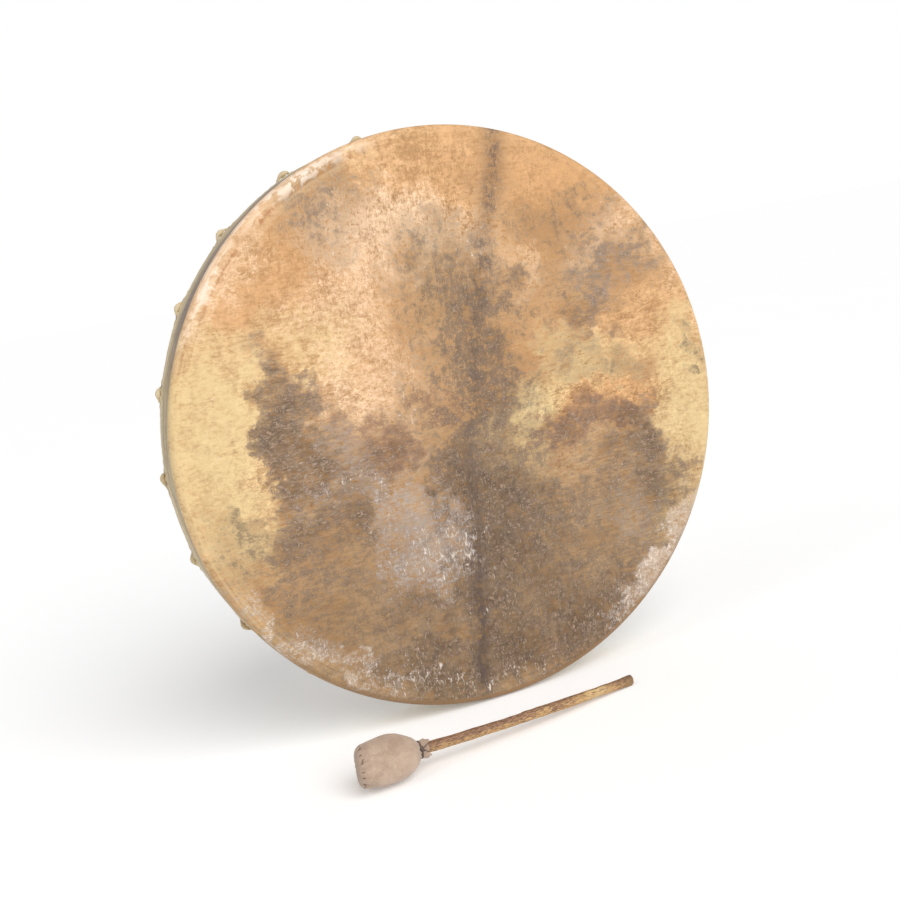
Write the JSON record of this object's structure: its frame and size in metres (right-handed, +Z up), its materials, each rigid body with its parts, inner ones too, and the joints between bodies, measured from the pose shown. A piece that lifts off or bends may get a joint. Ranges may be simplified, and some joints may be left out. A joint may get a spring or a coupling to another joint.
{
  "type": "frame drum with beater",
  "caption": "Large round frame drum: a rawhide head laced over a bent-wood hoop to a cross-shaped hand grip, with a padded leather-headed beater.",
  "frame": {"origin": "centre of the playing face, on the outside of the rawhide", "axes": "-Y out of the playing face, +Y towards the laced back, +Z up with the drum standing on its rim"},
  "size_m": [0.5056, 0.1671, 0.5012],
  "materials": {
    "rawhide": "scraped rawhide, mottled gold and brown, semi-matte",
    "hoop_wood": "bent ash strip, lightly oiled",
    "lace_rawhide": "cut rawhide lace, dried hard",
    "grip_suede": "soft suede strip",
    "beater_wood": "natural branch, part peeled",
    "beater_suede": "pinkish beige suede",
    "stuffing": "wool stuffing",
    "thread": "dark waxed thread"
  },
  "bodies": {
    "drum": {"hoop": "hoop_wood", "hoop_lap": "hoop_wood", "rawhide_head": "rawhide", "lace_01": "lace_rawhide", "lace_02": "lace_rawhide", "lace_03": "lace_rawhide", "lace_04": "lace_rawhide", "lace_05": "lace_rawhide", "lace_06": "lace_rawhide", "lace_07": "lace_rawhide", "lace_08": "lace_rawhide", "lace_09": "lace_rawhide", "lace_10": "lace_rawhide", "lace_11": "lace_rawhide", "lace_12": "lace_rawhide", "lace_13": "lace_rawhide", "lace_14": "lace_rawhide", "lace_15": "lace_rawhide", "lace_16": "lace_rawhide", "lace_17": "lace_rawhide", "lace_18": "lace_rawhide", "lace_19": "lace_rawhide", "lace_20": "lace_rawhide", "lace_21": "lace_rawhide", "lace_22": "lace_rawhide", "grip_bundle_1": "lace_rawhide", "grip_bundle_2": "lace_rawhide", "grip_bundle_3": "lace_rawhide", "grip_bundle_4": "lace_rawhide", "grip_wrap_1": "grip_suede", "grip_wrap_2": "grip_suede", "grip_wrap_3": "grip_suede", "grip_wrap_4": "grip_suede", "grip_hub": "grip_suede"},
    "beater": {"beater_stick": "beater_wood", "beater_cover": "beater_suede", "beater_padding": "stuffing", "beater_neck_tie": "thread", "beater_end_stitch": "thread"}
  },
  "joints": [
    {"name": "beater_lift", "type": "slide", "parent": "drum", "child": "beater", "axis": [0, 0, 1], "range_m": [0, 0.55]}
  ]
}
